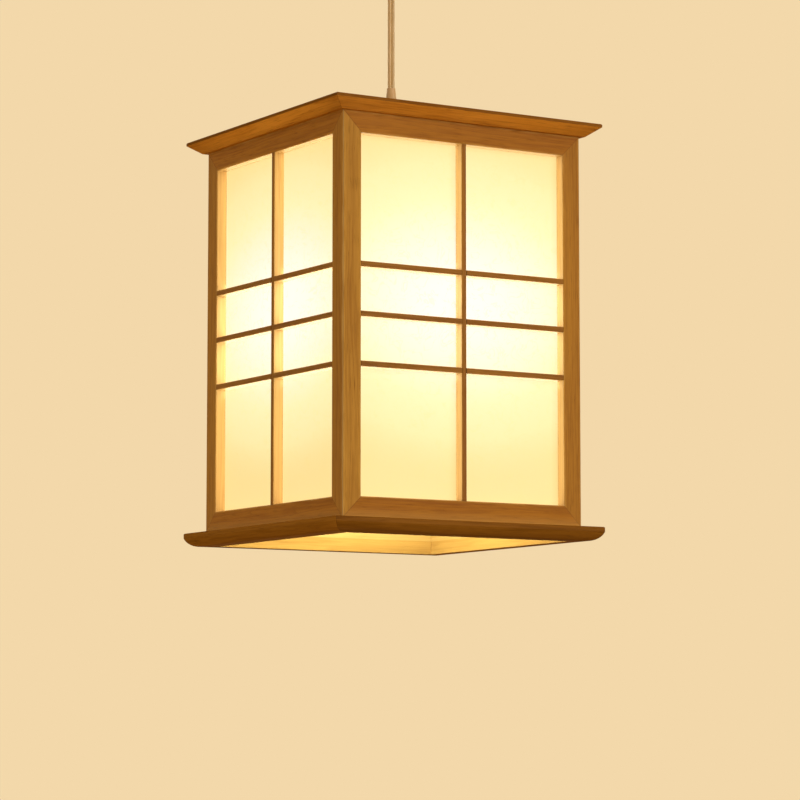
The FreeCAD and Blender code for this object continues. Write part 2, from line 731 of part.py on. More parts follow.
def make_hanger():
    """The threaded tube through the panel, its nuts and washers, and the tapered strain relief on top."""
    turned("threaded_tube", box("tube_bore / 2", "tube_bottom", "thread_diameter / 2", "tube_top"))
    washers = new_body("tube_washers")
    ring = [circle("0", "0", "washer_diameter"), circle("0", "0", "2 * thread_hole")]
    for level in ("panel_top", "cap_bottom - washer_thickness"):
        pad(washers, "XY", level, ring, "washer_thickness")
    nuts = new_body("tube_nuts")
    for level in ("nut_under", "neck_top"):
        pad(nuts, "XY", level, hexagon(), "nut_height")
    turned("strain_relief", [
        ("cord_hole", "strain_top"), ("strain_top_diameter / 2", "strain_top"),
        ("strain_base_diameter / 2", "strain_bottom + strain_base_height"),
        ("strain_base_diameter / 2", "strain_bottom"), ("thread_hole", "strain_bottom"),
        ("thread_hole", "tube_top + joint_clearance"), ("cord_hole", "tube_top + joint_clearance")])


# Lamp holder

def make_holder():
    """The lamp holder: a conical cap on the tube, a flanged skirt, and the insert that the flange carries."""
    turned("lamp_holder_cap", [
        ("thread_hole", "neck_top"), ("neck_radius", "neck_top"), ("neck_radius", "neck_bottom"),
        ("holder_radius", "cone_bottom"), ("holder_radius", "holder_seam"), ("holder_inside", "holder_seam"),
        ("holder_inside", "cone_bottom"), ("neck_radius", "neck_bottom - holder_wall"),
        ("thread_hole", "neck_bottom - holder_wall")])
    flange_hole = "shell_diameter / 2 + hole_clearance"
    flange_bottom = "insert_bottom - flange_thickness"
    turned("lamp_holder_skirt", [
        ("holder_radius", "holder_seam"), ("holder_radius", "holder_mouth"),
        ("holder_inside", "holder_mouth"), ("holder_inside", flange_bottom),
        (flange_hole, flange_bottom), (flange_hole, "insert_bottom"),
        ("holder_inside", "insert_bottom"), ("holder_inside", "holder_seam")])
    insert_radius = "holder_inside - hole_clearance"
    insert = turned("lamp_holder_insert", box("0", "insert_bottom", insert_radius, "insert_top"))
    wells = [circle(f"{hand} * insert_screw_spacing / 2", "0", "terminal_screw_diameter")
             for hand in HANDS.values()]
    pocket(insert, "XY", "insert_top + overcut", wells, "insert_screw_depth + overcut")
    turned("lamp_holder_shell", box("shell_diameter / 2 - shell_wall", "shell_bottom",
                                    "shell_diameter / 2", "insert_bottom"))
    contact = new_body("lamp_holder_contact")
    low = "bulb_tip + cord_clearance"
    high = f"{low} + contact_thickness"
    strip = [("-contact_reach", "insert_bottom"), ("-contact_reach / 2", "insert_bottom"),
             ("-contact_pad / 4", high), ("contact_pad / 2", high),
             ("contact_pad / 2", low), ("-contact_pad / 4 - contact_thickness", low),
             ("-contact_reach / 2 - contact_thickness", "insert_bottom - contact_thickness"),
             ("-contact_reach", "insert_bottom - contact_thickness")]
    pad(contact, "XZ", "-contact_width / 2", [strip], "contact_width")


# Bulb

def make_bulb():
    """A round bulb: a globe with a straight hollow, a tapered housing, a screw cap and a foot contact."""
    hollow_end = "globe_middle - globe_seat_rise"
    turned("bulb_globe", [
        ("0", "bulb_crown", ("ccw", "across", "0")), ("globe_neck", "globe_seat"),
        ("globe_inner_neck", "globe_seat"), ("globe_inner_neck", hollow_end), ("0", hollow_end)])
    turned("bulb_housing", [
        ("0", "globe_seat"), ("globe_neck", "globe_seat"), ("globe_neck", "globe_seat + collar_height"),
        ("housing_top_diameter / 2", "housing_top"), ("0", "housing_top")])
    turned("bulb_screw_cap", [
        ("screw_cap_inside", "housing_top"), ("screw_cap_radius", "housing_top"),
        ("screw_cap_radius", "screw_cap_top"), ("insulator_diameter / 2", "insulator_top"),
        ("0", "insulator_top"), ("0", "insulator_top - screw_cap_wall"),
        ("insulator_diameter / 2", "insulator_top - screw_cap_wall"),
        ("screw_cap_inside", "screw_cap_top - screw_cap_wall")])
    turned("bulb_foot_contact", [
        ("0", "insulator_top + joint_clearance"), ("foot_diameter / 2", "insulator_top + joint_clearance"),
        ("foot_diameter / 2 - arris", "bulb_tip"), ("0", "bulb_tip")])


def make_lantern():
    for side in SIDES:
        for hand_name in HANDS:
            make_stile(side, hand_name)
        for end_name in ("top", "bottom"):
            make_rail(side, end_name)
        make_bars(side)
        make_diffuser(side)
        make_cap_strip(side)
        make_base_strip(side)
    gather("lattice_uprights", [make_upright(side) for side in SIDES])
    make_cap_panel()
    make_corner_keys()
    make_dowels()
    make_hanger()
    make_holder()
    make_bulb()


def make_ceiling_fitting():
    make_bracket()
    make_studs()
    make_canopy()
    make_cap_nuts()
    make_cord_grip()
    make_grip_nut()
    make_terminal_block()


def write_parts():
    """Check the whole document, then write each piece to its own file."""
    doc.recompute()
    for item in doc.Objects:
        if "Invalid" in item.State or "Error" in item.State:
            raise RuntimeError(f"{item.Label} did not build: {item.State}")
    for label, item in nodes.items():
        if item.Shape.isNull() or not item.Shape.isValid() or not item.Shape.Solids:
            raise RuntimeError(f"{label} has no valid solid")
    os.makedirs("parts", exist_ok=True)
    for label, item in nodes.items():
        item.Shape.exportStep(f"parts/{label}.step")
    print(f"{len(nodes)} pieces written, {sum(len(item.Shape.Solids) for item in nodes.values())} solids")


make_lantern()
make_ceiling_fitting()
make_cord()
write_parts()
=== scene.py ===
"""Looks of the hanging wooden lantern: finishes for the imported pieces, the cord, the threads and the light.

Metres, +Z up, origin on the ceiling. The lantern's front faces -Y.
"""
import math

import bpy
import numpy as np
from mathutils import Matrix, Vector


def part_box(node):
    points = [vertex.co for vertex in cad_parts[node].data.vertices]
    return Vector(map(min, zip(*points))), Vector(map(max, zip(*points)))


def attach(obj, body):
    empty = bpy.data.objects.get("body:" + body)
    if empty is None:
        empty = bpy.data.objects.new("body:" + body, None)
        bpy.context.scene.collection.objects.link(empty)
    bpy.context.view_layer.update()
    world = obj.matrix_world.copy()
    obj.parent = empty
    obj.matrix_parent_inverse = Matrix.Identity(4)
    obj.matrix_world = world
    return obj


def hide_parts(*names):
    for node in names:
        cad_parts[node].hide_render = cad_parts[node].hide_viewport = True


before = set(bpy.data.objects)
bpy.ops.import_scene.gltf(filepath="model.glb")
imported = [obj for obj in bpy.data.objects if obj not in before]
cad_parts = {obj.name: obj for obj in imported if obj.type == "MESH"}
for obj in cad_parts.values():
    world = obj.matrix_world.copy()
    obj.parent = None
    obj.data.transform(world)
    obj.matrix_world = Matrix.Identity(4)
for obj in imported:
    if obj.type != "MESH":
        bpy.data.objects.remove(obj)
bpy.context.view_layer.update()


def tone(red, green, blue):
    """A colour from its 0 to 255 screen values, as linear light with full cover."""
    screen = np.array((red, green, blue)) / 255
    light = np.where(screen <= 0.04045, screen / 12.92, ((screen + 0.055) / 1.055) ** 2.4)
    return (*light.tolist(), 1)


MM = 0.001

# Sides with the directions that they face, and the two hands' directions along X
SIDES = {"front": (0, -1), "right": (1, 0), "back": (0, 1), "left": (-1, 0)}
HANDS = {"left": -1, "right": 1}

# Camera, at the photograph's place, with its turns in degrees and its lens in millimetres
CAMERA_PLACE = (-1.2162, -1.9998, -0.6035)
CAMERA_TURNS = (96.2, 0, -31.467)
CAMERA_LENS = 144.4

# Meshes: a sharper edge than this stays sharp
SHARP_EDGE = math.radians(40)

# Cord: the route's points are the swing point in the grip, halfway, and the end in the strain relief
CORD_WIDTH = 5.2 * MM
CORD_THICKNESS = 2.8 * MM
CORD_ROUTE = ((0, 0, -36 * MM), (0, 0, -88 * MM), (0, 0, -139.7 * MM))
CORD_STEPS = 90
CORD_COLUMNS = 48
CORD_TURN = math.radians(-31)
CORD_TURN_TOP = -40 * MM
CORD_TURN_LENGTH = 30 * MM
CONDUCTOR_RADIUS = 0.58 * MM
CONDUCTOR_SPACING = 2.7 * MM
STRANDS = 7
STRAND_LAY = 11 * MM
STRAND_SHARE = 0.22

# Threads: the screw cap's and the holder shell's are one round thread, with room between them
SCREW_PITCH = 3.6286 * MM
SCREW_DEPTH = 0.9 * MM
SCREW_ROOM = 0.3 * MM
SCREW_WALL = 0.4 * MM
SCREW_LEVELS = 97
SCREW_COLUMNS = 72
SHELL_RUN_OUT = 0.2 * MM
CAP_RIM_SHARE = 0.9
INSULATOR_TOP = 7 * MM
INSULATOR_LEVELS = 12
FINE_STEPS = 8
FINE_COLUMNS = 36
TUBE_PITCH = 1 * MM
TUBE_DEPTH = 0.55 * MM
TUBE_BORE = 3.5 * MM
STUD_PITCH = 0.7 * MM
STUD_DEPTH = 0.4 * MM
STUD_RADIUS = 2 * MM
STUD_HEAD_HEIGHT = 0.8 * MM

# Strain relief: a fluted foot and a ringed taper. Shares are of the taper's height
RELIEF_LEVELS = 149
RELIEF_COLUMNS = 144
FOOT_HEIGHT = 8 * MM
FOOT_EASE = 0.6 * MM
FOOT_EASE_HEIGHT = 1 * MM
FOOT_FLUTES = 20
FLUTE_DEPTH = 0.5 * MM
SHOULDER_STEP = 0.7 * MM
TAPER_RADIUS = 3.1 * MM
TAPER_POWER = 0.65
RING_PITCH = 4.6 * MM
RING_DEPTH = 0.8 * MM
RING_SHARPNESS = 0.6
RING_START_SHARE = 0.125
RING_END_SHARE = 0.72
RELIEF_TUBE_BORE = 5.05 * MM
RELIEF_CORD_BORE = 2.7 * MM

# Terminal block's screws. The dome's rings are shares of the radius: the first, the last and their count
TERMINAL_SPACING = 11 * MM
TERMINAL_WELL_DEPTH = 5 * MM
TERMINAL_SCREW_RADIUS = 1.8 * MM
TERMINAL_SCREW_HEIGHT = 2 * MM
DOME_HEIGHT = 0.5 * MM
DOME_RINGS = (0.94, 0.04, 18)
SLOT_HALF_WIDTH = 0.45 * MM
SLOT_WALL = 0.3 * MM
SLOT_DEPTH = 0.8 * MM
SLOT_TURN = 0.5

# Wood's grain: features in a metre, drawn out along it by 1 / draw, with weights in the darker tone's share
BANDS = 110
BAND_DRAW = 0.06
BAND_WEIGHT = 0.5
FIBRES = 1100
FIBRE_DRAW = 0.03
FIBRE_WEIGHT = 0.42
GROWTH_SPACING = 3.2 * MM
GROWTH_SLANT = 0.7
GROWTH_WANDER = 30
GROWTH_WEIGHT = 0.11
DARKER_STEP = (0.28, 0.80)
PORES = 2600
PORE_STEP = (0.60, 0.72)
PORE_STRENGTH = 0.45
PORE_DEPTH = 0.12 * MM

# Sticks of wood: each one's grain is shifted by its number times this
STICK_SHIFT = (0.37, 0.71, 0.53)
STICKS_A_SIDE = 7

# Wood's finish: gloss and lacquer, the reach of the painted glow on inner faces, edges paler with wear and a
# painted highlight, painted light at the rails' foot, dark rims (the base's is a painted shade line) and
# joint lines
FRAME_GLOSS = 0.08
BOARD_GLOSS = 0
LACQUER = {"Coat Roughness": 0.25, "Coat IOR": 1.4}
GLOW_PAINT_DEPTH = 0.5 * MM
GLOW_PAINT_BLUR = 0.4 * MM
INSIDE_GAP = 0.1 * MM
EDGE_WEAR_AND_HIGHLIGHT_WIDTH = 2 * MM
EDGE_WEAR_AND_HIGHLIGHT_STRENGTH = 0.5
RUBS = 260
RUB_DRAW = 0.15
RUB_STEP = (0.3, 0.7)
FOOT_LIGHT_HEIGHT = 9 * MM
FOOT_LIGHT_STRENGTH = 0.3
CAP_RIM_HEIGHT = 2.4 * MM
CAP_RIM_STRENGTH = 0.62
# The base's dark rim is a painted shade line under the bottom rail
BASE_SHADE_LINE_HEIGHT = 0.9 * MM
BASE_SHADE_LINE_STRENGTH = 0.2
RIM_DEPTH = 1 * MM
RIM_BLUR = 0.4 * MM
JOINT_WIDTH = 0.3 * MM
JOINT_STRENGTH = 0.45
LATTICE_WIDTH = 4 * MM

# Wood's tones, paler and darker, for the grain. Boards on the front and back run along X, on the sides along
# Y. Some are copies of one wood that paint light and shade: the stiles' tones are paler than the rails' as a
# painted sheen, the stiles' Y copy is darker as painted shade, and the base strips' copy is darker on the
# front and back (painted shade) and paler on the sides (painted light).
STILE_WOOD = {
    "X": (tone(194, 139, 48), tone(160, 105, 23)),
    "Y": (tone(182, 124, 36), tone(148, 92, 16)),
}
RAIL_WOOD = (tone(178, 114, 20), tone(144, 84, 8))
LATTICE_WOOD = (tone(162, 107, 34), tone(130, 79, 18))
CAP_WOOD = {
    "X": (tone(203, 132, 44), tone(165, 98, 24)),
    "Y": (tone(204, 134, 44), tone(167, 99, 24)),
}
BASE_WOOD = {
    "X": (tone(142, 90, 25), tone(110, 65, 12)),
    "Y": (tone(164, 105, 30), tone(128, 77, 15)),
}
PANEL_WOOD = (tone(206, 164, 104), tone(176, 130, 72))
# Paler tones for the faces in the openings and inside the lantern: painted light, standing in for the glow of
# the lit sheets and bulb
GLOW_PAINTED_WOOD = (tone(190, 153, 96), tone(166, 128, 76))
INSIDE_GLOW_PAINTED_WOOD = (tone(198, 168, 118), tone(182, 150, 100))
PORE_TONE = tone(96, 56, 18)
# A pale tone for edge wear, for the painted highlight on the arrises and for the painted light at the rails'
# foot
PALE_WEAR_AND_LIGHT_TONE = tone(222, 172, 88)
RIM_TONE = tone(70, 36, 4)
JOINT_TONE = tone(72, 40, 12)

# Sheets and globe: the light's colours at shares of its reach from the bulb's middle, then their patterns
SHEET_REACH = 130 * MM
SHEET_WIDE = 0.67
SHEET_LIGHT = (
    (0, (0.86, 0.86, 0.84, 1)),
    (0.6, (0.80, 0.77, 0.42, 1)),
    (0.85, (0.79, 0.70, 0.34, 1)),
    (1, (0.77, 0.60, 0.24, 1)),
)
SHEET_TONES = (tone(150, 140, 112), tone(164, 154, 128))
SHEET_DEPTH = 0.05 * MM
LONG_FIBRES = 75
LONG_FIBRE_STEP = (0.005, 0.025)
LONG_FIBRE_WEIGHT = 0.4
SHORT_FIBRES = 900
SHORT_FIBRE_DRAW = (1, 1, 0.3)
SHORT_FIBRE_WEIGHT = 0.6
SHEET_FIBRE_STEP = (0.3, 0.8)
SHEET_FIBRE_TONE = tone(244, 190, 96)
SHEET_FIBRE_STRENGTH = 0.22
GLOBE_REACH = 40 * MM
GLOBE_BRIGHTNESS = 0.62
GLOBE_LIGHT = ((0, tone(255, 250, 236)), (1, tone(255, 240, 208)))
GLOBE_TONES = (tone(236, 230, 214), tone(244, 240, 228))
GLOBE_DEPTH = 0.05 * MM
GLOBE_MOTTLE = 240

# Metals: two tones, roughness, and how the fine marks are drawn out along each axis
METALS = {
    "zinc_plate": (tone(190, 192, 194), tone(202, 204, 206), 0.24, (0.04, 1, 1)),
    "satin_nickel": (tone(198, 192, 180), tone(212, 208, 198), 0.22, (1, 1, 0.05)),
    "contact_brass": (tone(196, 160, 92), tone(214, 180, 112), 0.26, (1, 1, 1)),
    "bulb_cap_metal": (tone(200, 196, 186), tone(216, 212, 204), 0.24, (0.1, 0.1, 1)),
    "copper_strands": (tone(174, 136, 88), tone(188, 150, 102), 0.36, (1, 1, 0.1)),
    "tinned_strands": (tone(172, 148, 108), tone(188, 164, 124), 0.36, (1, 1, 0.1)),
}
MARKS = 1400
MARK_DEPTH = 0.06 * MM
METAL_CLOUDS = 90
CLOUD_STEP = (0.3, 0.7)

# Moulded and painted surfaces: two tones, the grain's size, roughness, and what is the same all over
NYLON_SCATTER = {"Subsurface Weight": 0.25, "Subsurface Radius": (4 * MM, 3 * MM, 2 * MM)}
CLEAR_SHEATH = {"Transmission Weight": 0.4, "IOR": 1.45}
MOULDED = {
    "canopy_paint": (tone(232, 228, 218), tone(238, 235, 227), 1.1 * MM, 0.34, {"Coat Weight": 0.15}),
    "terminal_plastic": (tone(222, 218, 206), tone(232, 228, 216), 0.5 * MM, 0.42, {}),
    "holder_plastic": (tone(228, 224, 214), tone(236, 233, 225), 0.5 * MM, 0.36, {}),
    "insert_ceramic": (tone(226, 222, 212), tone(238, 236, 228), 0.9 * MM, 0.3, {}),
    "bulb_housing": (tone(236, 234, 228), tone(243, 241, 236), 0.4 * MM, 0.38, {}),
    "clear_nylon": (tone(194, 158, 108), tone(206, 170, 120), 0.6 * MM, 0.3, NYLON_SCATTER),
    "insulator_glass": (tone(26, 24, 26), tone(38, 36, 36), 0.7 * MM, 0.12, {}),
    "cord_sheath": (tone(226, 192, 134), tone(234, 202, 148), 2.2 * MM, 0.08, CLEAR_SHEATH),
}
SPECKLE_DEPTH = 0.08 * MM
MOULDED_CLOUDS = 60

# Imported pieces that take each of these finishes
FITTINGS = {
    "zinc_plate": ("ceiling_bracket", "cord_grip_nut", "tube_nuts", "tube_washers"),
    "satin_nickel": ("canopy_cap_nuts",),
    "contact_brass": ("lamp_holder_contact", "bulb_foot_contact"),
    "canopy_paint": ("ceiling_canopy",),
    "terminal_plastic": ("terminal_block",),
    "holder_plastic": ("lamp_holder_cap", "lamp_holder_skirt"),
    "insert_ceramic": ("lamp_holder_insert",),
    "bulb_housing": ("bulb_housing",),
    "clear_nylon": ("canopy_cord_grip",),
}

# Studio: each lamp's place and watts, and the world and floor as they light and as they are seen
WARM_WHITE = (1, 0.91, 0.76)
STUDIO_LAMPS = {
    "key": ((0.9, -2.3, 0.15), 30),
    "fill": ((-1.9, -0.6, -0.6), 10.5),
    "back": ((1.2, 2.0, 0.5), 24),
    "top": ((0.4, -0.3, 2.0), 20),
    "low": ((0.3, 0.5, -2.4), 6),
}
STUDIO_LAMP_SIZE = (1.6, 1.6)
STUDIO_AIM = (0, 0, -0.3)
WORLD_LIGHT = (0.40, 0.36, 0.29, 1)
WORLD_SEEN = tone(243, 216, 170)
FLOOR_DROP = 2.6
FLOOR_RADIUS = 9
FLOOR_SIDES = 96
FLOOR_CLOUDS = 4
FLOOR_LIGHT = tone(164, 138, 99)
FLOOR_SEEN = (tone(240, 220, 188), tone(242, 224, 194))
FLOOR_GLOW = (0.46, 0.36, 0.23, 1)
BLACK = (0, 0, 0, 1)

# Lantern's own light: watts and colour of each lamp up a sheet, each side's share, the bulb and the foot
SHEET_GLOW = ((0.14, (1, 0.9, 0.62)), (0.23, (1, 1, 0.8)), (0.14, (1, 0.9, 0.62)))
SIDE_GLOW = {"front": 0.78, "right": 0.9, "back": 0.9, "left": 1}
SHEET_COVER = 5.1 * MM
GLOW_GAP = 0.08 * MM
BULB_POWER = 0.9
BULB_COLOUR = (1, 0.72, 0.36)
BULB_GAP = 1 * MM
FOOT_GLOW_HEIGHT = -0.37
FOOT_GLOW_SIZE = (0.15, 0.15)
FOOT_GLOW_POWER = 0.6
FOOT_GLOW_COLOUR = (1, 0.95, 0.48)


class Value:
    """A socket's value in a finish. Arithmetic on it adds Math nodes."""

    def __init__(self, finish, socket):
        self.finish = finish
        self.socket = socket

    def math(self, operation, *numbers):
        return self.finish.node("ShaderNodeMath", {"operation": operation}, dict(enumerate(numbers)))

    def __add__(self, other):
        return self.math("ADD", self, other)

    def __radd__(self, other):
        return self.math("ADD", other, self)

    def __sub__(self, other):
        return self.math("SUBTRACT", self, other)

    def __rsub__(self, other):
        return self.math("SUBTRACT", other, self)

    def __mul__(self, other):
        return self.math("MULTIPLY", self, other)

    def __rmul__(self, other):
        return self.math("MULTIPLY", other, self)

    def __truediv__(self, other):
        return self.math("DIVIDE", self, other)

    def __pow__(self, other):
        return self.math("POWER", self, other)

    def sine(self):
        return self.math("SINE", self)

    def size(self):
        return self.math("ABSOLUTE", self)

    def least(self, other):
        return self.math("MINIMUM", self, other)

    def most(self, other):
        return self.math("MAXIMUM", self, other)

    def smooth(self, low, high):
        """0 below low, 1 above high, with an eased step between."""
        return self.finish.node("ShaderNodeMapRange", {"interpolation_type": "SMOOTHSTEP"},
                                {"Value": self, "From Min": low, "From Max": high})


class Finish:
    """A material or world: its node tree, and the shader that its values feed."""

    def __init__(self, owner, shader):
        owner.use_nodes = True
        self.owner = owner
        self.tree = owner.node_tree
        self.shader = self.tree.nodes[shader]

    def fill(self, node, sockets):
        """Gives each socket its value or its link."""
        for key, value in sockets.items():
            if isinstance(value, Value):
                self.tree.links.new(value.socket, node.inputs[key])
            else:
                node.inputs[key].default_value = value

    def node(self, kind, settings, sockets, output=0):
        """Adds one node. Its settings come first, then its sockets' values and links."""
        node = self.tree.nodes.new(kind)
        for name, setting in settings.items():
            if name == "stops":
                for stop in setting[1:-1]:
                    node.color_ramp.elements.new(stop[0])
                for element, (place, colour) in zip(node.color_ramp.elements, setting):
                    element.position = place
                    element.color = colour
            else:
                setattr(node, name, setting)
        self.fill(node, sockets)
        return Value(self, node.outputs[output])

    def feed(self, sockets):
        self.fill(self.shader, sockets)

    def place(self, scale=(1, 1, 1), shift=(0, 0, 0)):
        """The piece's own coordinates in metres, stretched and shifted."""
        point = self.node("ShaderNodeTexCoord", {}, {}, "Object")
        return self.node("ShaderNodeMapping", {}, {"Vector": point, "Scale": scale, "Location": shift})

    def axis(self, name):
        point = self.node("ShaderNodeTexCoord", {}, {}, "Object")
        return self.node("ShaderNodeSeparateXYZ", {}, {"Vector": point}, name)

    def out(self):
        """The distance out from the lantern's middle to the side that the point is on."""
        return self.axis("X").size().most(self.axis("Y").size())

    def noise(self, place, scale, detail=2, distortion=0):
        return self.node("ShaderNodeTexNoise", {}, {"Vector": place, "Scale": scale, "Detail": detail,
                                                    "Distortion": distortion})

    def mix(self, share, first, second):
        """A colour between two, by share."""
        return self.node("ShaderNodeMix", {"data_type": "RGBA"}, {0: share, 6: first, 7: second}, 2)

    def ramp(self, value, stops):
        return self.node("ShaderNodeValToRGB", {"stops": stops}, {"Fac": value})

    def bump(self, height, depth, strength):
        return self.node("ShaderNodeBump", {}, {"Height": height, "Distance": depth, "Strength": strength})

    def ray(self, kind):
        """1 on rays of that kind, 0 on others. For the world and the floor only."""
        return self.node("ShaderNodeLightPath", {}, {}, f"Is {kind} Ray")


def new_finish(name, constants):
    """A finish with the values that are the same all over its surface."""
    finish = Finish(bpy.data.materials.new(name), "Principled BSDF")
    finish.feed(constants)
    return finish


def give(finish, *nodes):
    """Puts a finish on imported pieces."""
    for node in nodes:
        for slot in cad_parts[node].material_slots:
            slot.material = finish.owner


# Camera

def set_camera():
    """The photograph's view."""
    lens = bpy.data.cameras.new("camera")
    lens.lens = CAMERA_LENS
    camera = bpy.data.objects.new("camera", lens)
    camera.location = CAMERA_PLACE
    camera.rotation_euler = [math.radians(turn) for turn in CAMERA_TURNS]
    bpy.context.scene.collection.objects.link(camera)
    bpy.context.scene.camera = camera


# Surfaces on a grid

def new_piece(name, points, loop, finish, body):
    """A mesh of rings of points, one ring a row. Each ring closes on itself; the rows close into a loop, or
    each end ring is filled with one face."""
    rows, columns = points.shape[:2]
    row, column = np.meshgrid(np.arange(rows if loop else rows - 1), np.arange(columns), indexing="ij")
    after = (column + 1) % columns
    this_row = row * columns
    next_row = (row + 1) % rows * columns
    corners = (this_row + column, this_row + after, next_row + after, next_row + column)
    faces = np.stack(corners, -1).reshape(-1, 4).tolist()
    if not loop:
        faces.append(list(range(columns))[::-1])
        faces.append(list(range((rows - 1) * columns, rows * columns)))
    mesh = bpy.data.meshes.new(name)
    mesh.from_pydata(points.reshape(-1, 3).tolist(), [], faces)
    mesh.shade_smooth()
    mesh.set_sharp_from_angle(angle=SHARP_EDGE)
    mesh.materials.append(finish.owner)
    piece = bpy.data.objects.new(name, mesh)
    bpy.context.scene.collection.objects.link(piece)
    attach(piece, body)
    return piece


def angles(columns):
    """Even angles round a ring."""
    return np.arange(columns) * 2 * np.pi / columns


def turned(levels, radius, middle=0):
    """Rings round an upright axis at x = middle. The radius is an array of levels by angles."""
    angle = angles(radius.shape[1])[None, :]
    height = levels[:, None] + 0 * radius
    return np.stack((middle + radius * np.cos(angle), radius * np.sin(angle), height), -1)


def walled(levels, outer, inner):
    """A turned wall: radius outer up the levels, then radius inner down them."""
    return turned(np.concatenate((levels, levels[::-1])), np.concatenate((outer, inner[::-1])))


def threaded(levels, columns, crest, depth, pitch, fade):
    """Radii of a round right-hand thread, levels by angles: crest - depth (1 - wave). The wave is
    (1 + cos(2 pi z / pitch - a)) / 2, and rises from 0 over the distance fade at each end."""
    turn = 2 * np.pi * levels[:, None] / pitch - angles(columns)[None, :]
    from_end = np.minimum(levels - levels.min(), levels.max() - levels)
    rise = np.clip(from_end / fade, 0, 1)[:, None]
    wave = rise * (1 + np.cos(turn)) / 2
    return crest - depth * (1 - wave)


# Cord

def cord_line():
    """Points of the cord's smooth line from its lower end up, read from a NURBS spline. The route's points
    are its control points."""
    curve = bpy.data.curves.new("cord_line", "CURVE")
    curve.dimensions = "3D"
    spline = curve.splines.new("NURBS")
    spline.points.add(len(CORD_ROUTE) - 1)
    spline.points.foreach_set("co", np.array([(*point, 1) for point in CORD_ROUTE[::-1]]).ravel())
    spline.order_u = 3
    spline.use_endpoint_u = True
    spline.resolution_u = CORD_STEPS
    holder = bpy.data.objects.new("cord_line", curve)
    mesh = bpy.data.meshes.new_from_object(holder)
    line = np.empty(len(mesh.vertices) * 3)
    mesh.vertices.foreach_get("co", line)
    bpy.data.objects.remove(holder)
    bpy.data.meshes.remove(mesh)
    return line.reshape(-1, 3)


def carried(line, across, deep):
    """A section carried up a line: across along X and deep along Y, arrays of points on the line by angles.
    Below the grip it turns about the line by an eased share of the cord's turn, share^2 (3 - 2 share)."""
    share = np.clip((CORD_TURN_TOP - line[:, 2:]) / CORD_TURN_LENGTH, 0, 1)
    turn = CORD_TURN * share ** 2 * (3 - 2 * share)
    x = across * np.cos(turn) - deep * np.sin(turn)
    y = across * np.sin(turn) + deep * np.cos(turn)
    return line[:, None, :] + np.stack((x, y, 0 * x), -1)


def sheath(line):
    """Two round cores side by side: from the middle the outline is at the distance
    spread |cos a| + sqrt(core^2 - spread^2 sin^2 a)."""
    core = CORD_THICKNESS / 2
    spread = CORD_WIDTH / 2 - core
    angle = angles(CORD_COLUMNS) + 0 * line[:, :1]
    reach = spread * abs(np.cos(angle)) + np.sqrt(core ** 2 - (spread * np.sin(angle)) ** 2)
    return carried(line, reach * np.cos(angle), reach * np.sin(angle))


def conductor(line, middle):
    """A bundle of twisted strands: the radius falls by a share of 1 - |cos(n / 2 (a - 2 pi z / lay))|, so n
    round lobes climb round the bundle once in each lay."""
    angle = angles(CORD_COLUMNS) + 0 * line[:, :1]
    lobe = abs(np.cos(STRANDS / 2 * (angle - 2 * np.pi * line[:, 2:] / STRAND_LAY)))
    reach = CONDUCTOR_RADIUS * (1 - STRAND_SHARE * (1 - lobe))
    return carried(line, middle + reach * np.cos(angle), reach * np.sin(angle))


def make_cord(sheath_finish, copper_finish, tinned_finish):
    """The hanging stretch with its two conductors, and the tails inside the fitting and the tube."""
    line = cord_line()
    cord = new_piece("cord_sheath", sheath(line), False, sheath_finish, "cord")
    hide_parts("pendant_cord")
    inner = line[1:-1]
    aside = CONDUCTOR_SPACING / 2
    left = conductor(inner, -aside)
    right = conductor(inner, aside)
    cores = [new_piece("cord_core_left", left, False, copper_finish, "cord"),
             new_piece("cord_core_right", right, False, tinned_finish, "cord")]
    for node, body in (("canopy_cord_tail", "ceiling"), ("holder_cord_tail", "lamp")):
        low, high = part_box(node)
        ends = np.array(((0, 0, low.z), (0, 0, high.z)))
        tail = new_piece(node + "_sheath", sheath(ends), False, sheath_finish, body)
        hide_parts(node)


# Threads, strain relief and screws

def make_tube(finish):
    """The threaded tube: a fine thread outside, a plain bore."""
    low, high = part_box("threaded_tube")
    step = TUBE_PITCH / FINE_STEPS
    levels = np.arange(low.z, high.z + step / 2, step)
    outer = threaded(levels, FINE_COLUMNS, high.x, TUBE_DEPTH, TUBE_PITCH, TUBE_PITCH)
    bore = TUBE_BORE + 0 * outer
    tube = new_piece("tube_thread", walled(levels, outer, bore), True, finish, "lamp")
    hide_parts("threaded_tube")


def make_screw_cap(finish, insulator_finish):
    """The bulb's cap: a rolled sheet whose inside follows its thread, and a glass insulator on top, whose
    outline is a quarter of an ellipse."""
    low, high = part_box("bulb_screw_cap")
    rim = low.z + (high.z - low.z) * CAP_RIM_SHARE
    levels = np.linspace(low.z, rim, SCREW_LEVELS)
    outer = threaded(levels, SCREW_COLUMNS, high.x, SCREW_DEPTH, SCREW_PITCH, SCREW_PITCH / 2)
    points = walled(levels, outer, outer - SCREW_WALL)
    cap = new_piece("screw_cap_thread", points, True, finish, "bulb")
    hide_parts("bulb_screw_cap")
    ease = np.linspace(0, np.pi / 2, INSULATOR_LEVELS)
    fall = high.x - SCREW_DEPTH - INSULATOR_TOP
    radius = INSULATOR_TOP + fall * np.cos(ease)[:, None] + 0 * angles(SCREW_COLUMNS)
    dome = turned(rim + (high.z - rim) * np.sin(ease), radius)
    new_piece("screw_cap_insulator", dome, False, insulator_finish, "bulb")


def make_holder_shell(finish):
    """The holder's threaded shell: its inside is the cap's thread with room, its outside is a wall further
    out."""
    low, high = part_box("lamp_holder_shell")
    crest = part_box("bulb_screw_cap")[1].x + SCREW_ROOM
    levels = np.linspace(low.z, high.z, SCREW_LEVELS)
    inner = threaded(levels, SCREW_COLUMNS, crest, SCREW_DEPTH, SCREW_PITCH, SHELL_RUN_OUT)
    points = walled(levels, inner + SCREW_WALL, inner)
    shell = new_piece("holder_shell_thread", points, True, finish, "lamp")
    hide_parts("lamp_holder_shell")


